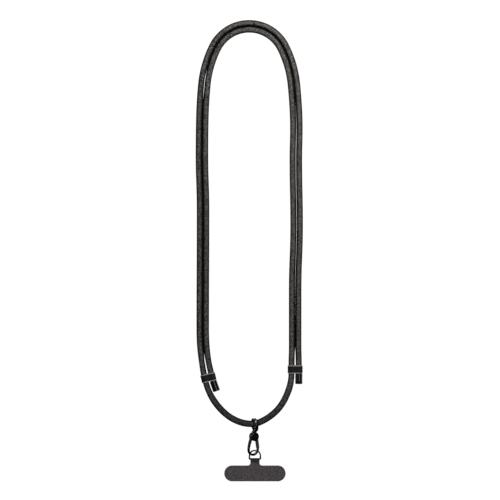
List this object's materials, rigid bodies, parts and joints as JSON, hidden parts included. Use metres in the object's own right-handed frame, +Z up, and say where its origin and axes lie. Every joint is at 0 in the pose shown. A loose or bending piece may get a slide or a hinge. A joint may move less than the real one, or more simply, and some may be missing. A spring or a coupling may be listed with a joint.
{
  "type": "phone lanyard",
  "caption": "Adjustable braided neck and crossbody cord with leather sliders, a swivel snap hook, a D-ring and a flat fabric tab that anchors it inside a phone case.",
  "frame": {"origin": "underside of the top bend, where the lanyard hangs over a hook or a neck", "axes": "+Z up along the hanging lanyard, the loop lies in the XZ plane, the face looks towards -Y, +X to the viewer's right"},
  "size_m": [0.1067, 0.0136, 0.4611],
  "materials": {
    "cord": "tight braided polyester sheath, dark charcoal",
    "core": "twisted fibre core",
    "end_cap": "gloss black coated metal tube",
    "leather": "smooth dark leather with raw cut edges",
    "thread": "waxed thread",
    "gunmetal": "black nickel plating, glossy",
    "polished_black": "gloss black lacquer",
    "spring_steel": "bright spring wire",
    "tab_fabric": "fine woven fabric, dark grey",
    "tab_core": "thin flexible stiffener",
    "tab_backing": "smooth synthetic backing"
  },
  "bodies": {
    "cord": {"cord_sheath": "cord", "cord_core": "core", "left_end_cap": "end_cap", "right_end_cap": "end_cap"},
    "left_slider": {"left_slider_band": "leather", "left_slider_stitches": "thread"},
    "right_slider": {"right_slider_band": "leather", "right_slider_stitches": "thread"},
    "swivel": {"swivel_eye": "gunmetal"},
    "hook": {"hook_body": "gunmetal", "front_disc": "polished_black", "back_disc": "polished_black", "gate_rivet": "gunmetal", "gate_spring": "spring_steel"},
    "gate": {"gate": "gunmetal"},
    "d_ring": {"d_ring": "gunmetal"},
    "tab": {"tab_loop": "tab_fabric", "tab_loop_stitches": "thread", "tab_front": "tab_fabric", "tab_core": "tab_core", "tab_back": "tab_backing"}
  },
  "joints": [
    {"name": "left_slider_travel", "type": "hinge", "parent": "cord", "child": "left_slider", "pos_m": [0.1468, 0, -0.2988], "axis": [0, 1, 0], "range_deg": [0, 13.9]},
    {"name": "right_slider_travel", "type": "slide", "parent": "cord", "child": "right_slider", "axis": [0, 0, 1], "range_m": [0, 0.079]},
    {"name": "clip_swing", "type": "hinge", "parent": "cord", "child": "swivel", "pos_m": [0.0056, 0, -0.3913], "axis": [1, 0, 0], "range_deg": [-60, 60]},
    {"name": "hook_swivel", "type": "hinge", "parent": "swivel", "child": "hook", "pos_m": [0.0056, 0, -0.3913], "axis": [0.061, 0, 0.9981], "continuous": true},
    {"name": "gate_open", "type": "hinge", "parent": "hook", "child": "gate", "pos_m": [0.00692, 0.00155, -0.40601], "axis": [-0.5725, 0.8192, 0.035], "range_deg": [0, 20], "stiffness_Nm_per_rad": 0.01, "springref_deg": -20.05, "deforming": ["gate_spring"]},
    {"name": "d_ring_swing", "type": "hinge", "parent": "hook", "child": "d_ring", "pos_m": [0.0058, 0.0006, -0.4201], "axis": [1, 0, 0], "range_deg": [-8, 50]},
    {"name": "tab_swing", "type": "hinge", "parent": "d_ring", "child": "tab", "pos_m": [0.0058, 0.0006, -0.427], "axis": [1, 0, 0], "range_deg": [-80, 80]}
  ]
}
